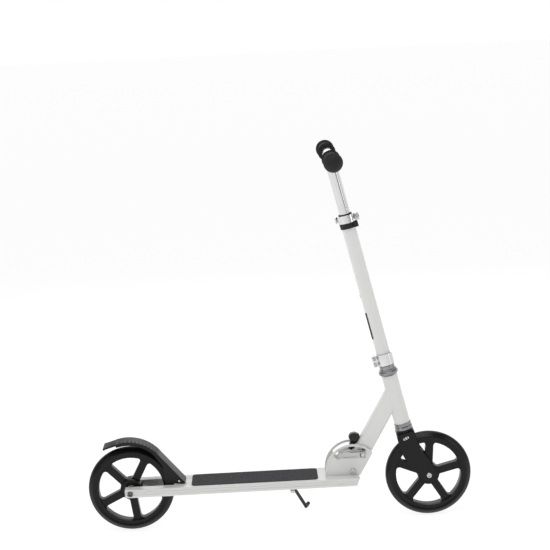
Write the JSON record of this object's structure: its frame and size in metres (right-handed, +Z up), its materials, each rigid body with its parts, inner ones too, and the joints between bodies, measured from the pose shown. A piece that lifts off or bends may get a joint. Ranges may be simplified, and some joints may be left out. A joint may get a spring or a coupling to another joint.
{
  "type": "kick scooter",
  "caption": "Folding kick scooter with large solid wheels, a flat deck, a rear fender brake, a kickstand and a height-adjustable T handlebar.",
  "frame": {"origin": "on the floor midway between the two wheels, in the plane of symmetry of the frame", "axes": "+X forward to the front wheel, +Y to the rider's left, +Z up"},
  "size_m": [0.893, 0.356, 0.8735],
  "materials": {
    "white_paint": "gloss powder coat",
    "black_paint": "gloss powder coat",
    "stand_paint": "satin black",
    "zinc": "zinc plated",
    "chrome": "polished",
    "clamp_metal": "polished",
    "cup_metal": "satin",
    "lever_metal": "satin cast",
    "spring_steel": "oiled wire",
    "tyre": "smooth cast polyurethane",
    "core_plastic": "moulded nylon",
    "fender_plastic": "moulded, fine texture",
    "trim_plastic": "moulded",
    "knob_plastic": "moulded",
    "grip_rubber": "soft moulded rubber",
    "grip_tape": "coarse sanded sheet",
    "stand_rubber": "moulded sleeve"
  },
  "bodies": {
    "deck": {"deck": "white_paint", "deck_plugs": "trim_plastic", "grip_tape": "grip_tape", "deck_screws": "zinc", "bracket": "white_paint", "pivot_bolt": "zinc", "pivot_nut": "zinc", "pivot_washers": "trim_plastic", "rear_axle": "zinc", "rear_axle_nut": "zinc", "rear_spacers": "zinc", "fender_bracket": "zinc", "fender_pin": "zinc", "fender_spring": "spring_steel", "stand_bracket": "stand_paint", "stand_pin": "zinc", "stand_spring": "spring_steel"},
    "rear_wheel": {"rear_tyre": "tyre", "rear_core": "core_plastic", "rear_bearings": "zinc"},
    "fender": {"fender": "fender_plastic", "brake_pad": "zinc"},
    "kickstand": {"stand_leg": "stand_paint", "stand_foot": "stand_rubber"},
    "front_frame": {"front_frame": "white_paint", "lower_cup": "cup_metal", "upper_cup": "cup_metal", "headset_bearings": "zinc", "lock_spring": "spring_steel"},
    "lock": {"lock_slider": "trim_plastic", "release_knob": "knob_plastic"},
    "skewer": {"lock_axle": "zinc", "lock_nut": "zinc"},
    "fold_lever": {"fold_lever": "lever_metal"},
    "fork": {"fork": "black_paint", "headset_nut": "cup_metal", "front_axle": "zinc", "front_axle_nut": "zinc", "front_spacers": "zinc", "steering_tube": "white_paint", "tube_strip": "trim_plastic", "lower_clamp": "clamp_metal", "upper_clamp": "clamp_metal", "clamp_bolts": "zinc", "lever_bolt": "zinc", "clip_ring": "trim_plastic", "stem_sleeve": "trim_plastic"},
    "front_wheel": {"front_tyre": "tyre", "front_core": "core_plastic", "front_bearings": "zinc"},
    "clamp_lever": {"clamp_lever": "clamp_metal"},
    "stem": {"stem": "chrome"},
    "snap_button": {"snap_button": "chrome"},
    "bar_left": {"bar_left": "chrome", "grip_left": "grip_rubber"},
    "bar_right": {"bar_right": "chrome", "grip_right": "grip_rubber"},
    "button_left": {"button_left": "chrome"},
    "button_right": {"button_right": "chrome"}
  },
  "joints": [
    {"name": "rear_wheel_spin", "type": "hinge", "parent": "deck", "child": "rear_wheel", "pos_m": [-0.3465, 0, 0.1], "axis": [0, 1, 0], "continuous": true},
    {"name": "fender_brake", "type": "hinge", "parent": "deck", "child": "fender", "pos_m": [-0.234, 0, 0.117], "axis": [0, -1, 0], "range_deg": [0, 1.8], "stiffness_Nm_per_rad": 6, "springref_deg": -4.58, "deforming": ["fender_spring"]},
    {"name": "kickstand", "type": "hinge", "parent": "deck", "child": "kickstand", "pos_m": [0.028, 0.0225, 0.078], "axis": [0, 0.8018, 0.5976], "range_deg": [0, 104], "deforming": ["stand_spring"]},
    {"name": "fold", "type": "hinge", "parent": "deck", "child": "front_frame", "pos_m": [0.17, 0, 0.12], "axis": [0, -1, 0], "range_deg": [0, 77]},
    {"name": "lock_slide", "type": "slide", "parent": "front_frame", "child": "lock", "axis": [0.5, 0, 0.866], "range_m": [0, 0.007], "stiffness_N_per_m": 600, "springref_m": -0.008, "deforming": ["lock_spring"]},
    {"name": "skewer_turn", "type": "hinge", "parent": "lock", "child": "skewer", "pos_m": [0.1934, 0, 0.16053], "axis": [0, -1, 0], "range_deg": [-77, 0]},
    {"name": "fold_lever", "type": "hinge", "parent": "skewer", "child": "fold_lever", "pos_m": [0.1934, -0.0315, 0.16053], "axis": [0, 0, 1], "range_deg": [0, 120]},
    {"name": "steer", "type": "hinge", "parent": "front_frame", "child": "fork", "pos_m": [0.31879, 0, 0.1], "axis": [-0.225, 0, 0.9744], "continuous": true},
    {"name": "front_wheel_spin", "type": "hinge", "parent": "fork", "child": "front_wheel", "pos_m": [0.3465, 0, 0.1], "axis": [0, 1, 0], "continuous": true},
    {"name": "clamp_lever", "type": "hinge", "parent": "fork", "child": "clamp_lever", "pos_m": [0.20278, 0.014, 0.71363], "axis": [0.225, 0, -0.9744], "range_deg": [0, 120]},
    {"name": "stem_slide", "type": "slide", "parent": "fork", "child": "stem", "axis": [-0.225, 0, 0.9744], "range_m": [0, 0.1]},
    {"name": "stem_button", "type": "slide", "parent": "stem", "child": "snap_button", "axis": [0.9744, 0, 0.225], "range_m": [0, 0.0043], "stiffness_N_per_m": 800, "springref_m": -0.004},
    {"name": "bar_left_slide", "type": "slide", "parent": "stem", "child": "bar_left", "axis": [0, 1, 0], "range_m": [0, 0.05]},
    {"name": "bar_right_slide", "type": "slide", "parent": "stem", "child": "bar_right", "axis": [0, -1, 0], "range_m": [0, 0.05]},
    {"name": "button_left", "type": "slide", "parent": "bar_left", "child": "button_left", "axis": [-0.225, 0, 0.9744], "range_m": [0, 0.0043], "stiffness_N_per_m": 800, "springref_m": -0.004},
    {"name": "button_right", "type": "slide", "parent": "bar_right", "child": "button_right", "axis": [-0.225, 0, 0.9744], "range_m": [0, 0.0043], "stiffness_N_per_m": 800, "springref_m": -0.004}
  ],
  "couplings": [
    {"joint": "skewer_turn", "follows": "fold", "ratio": -1}
  ]
}
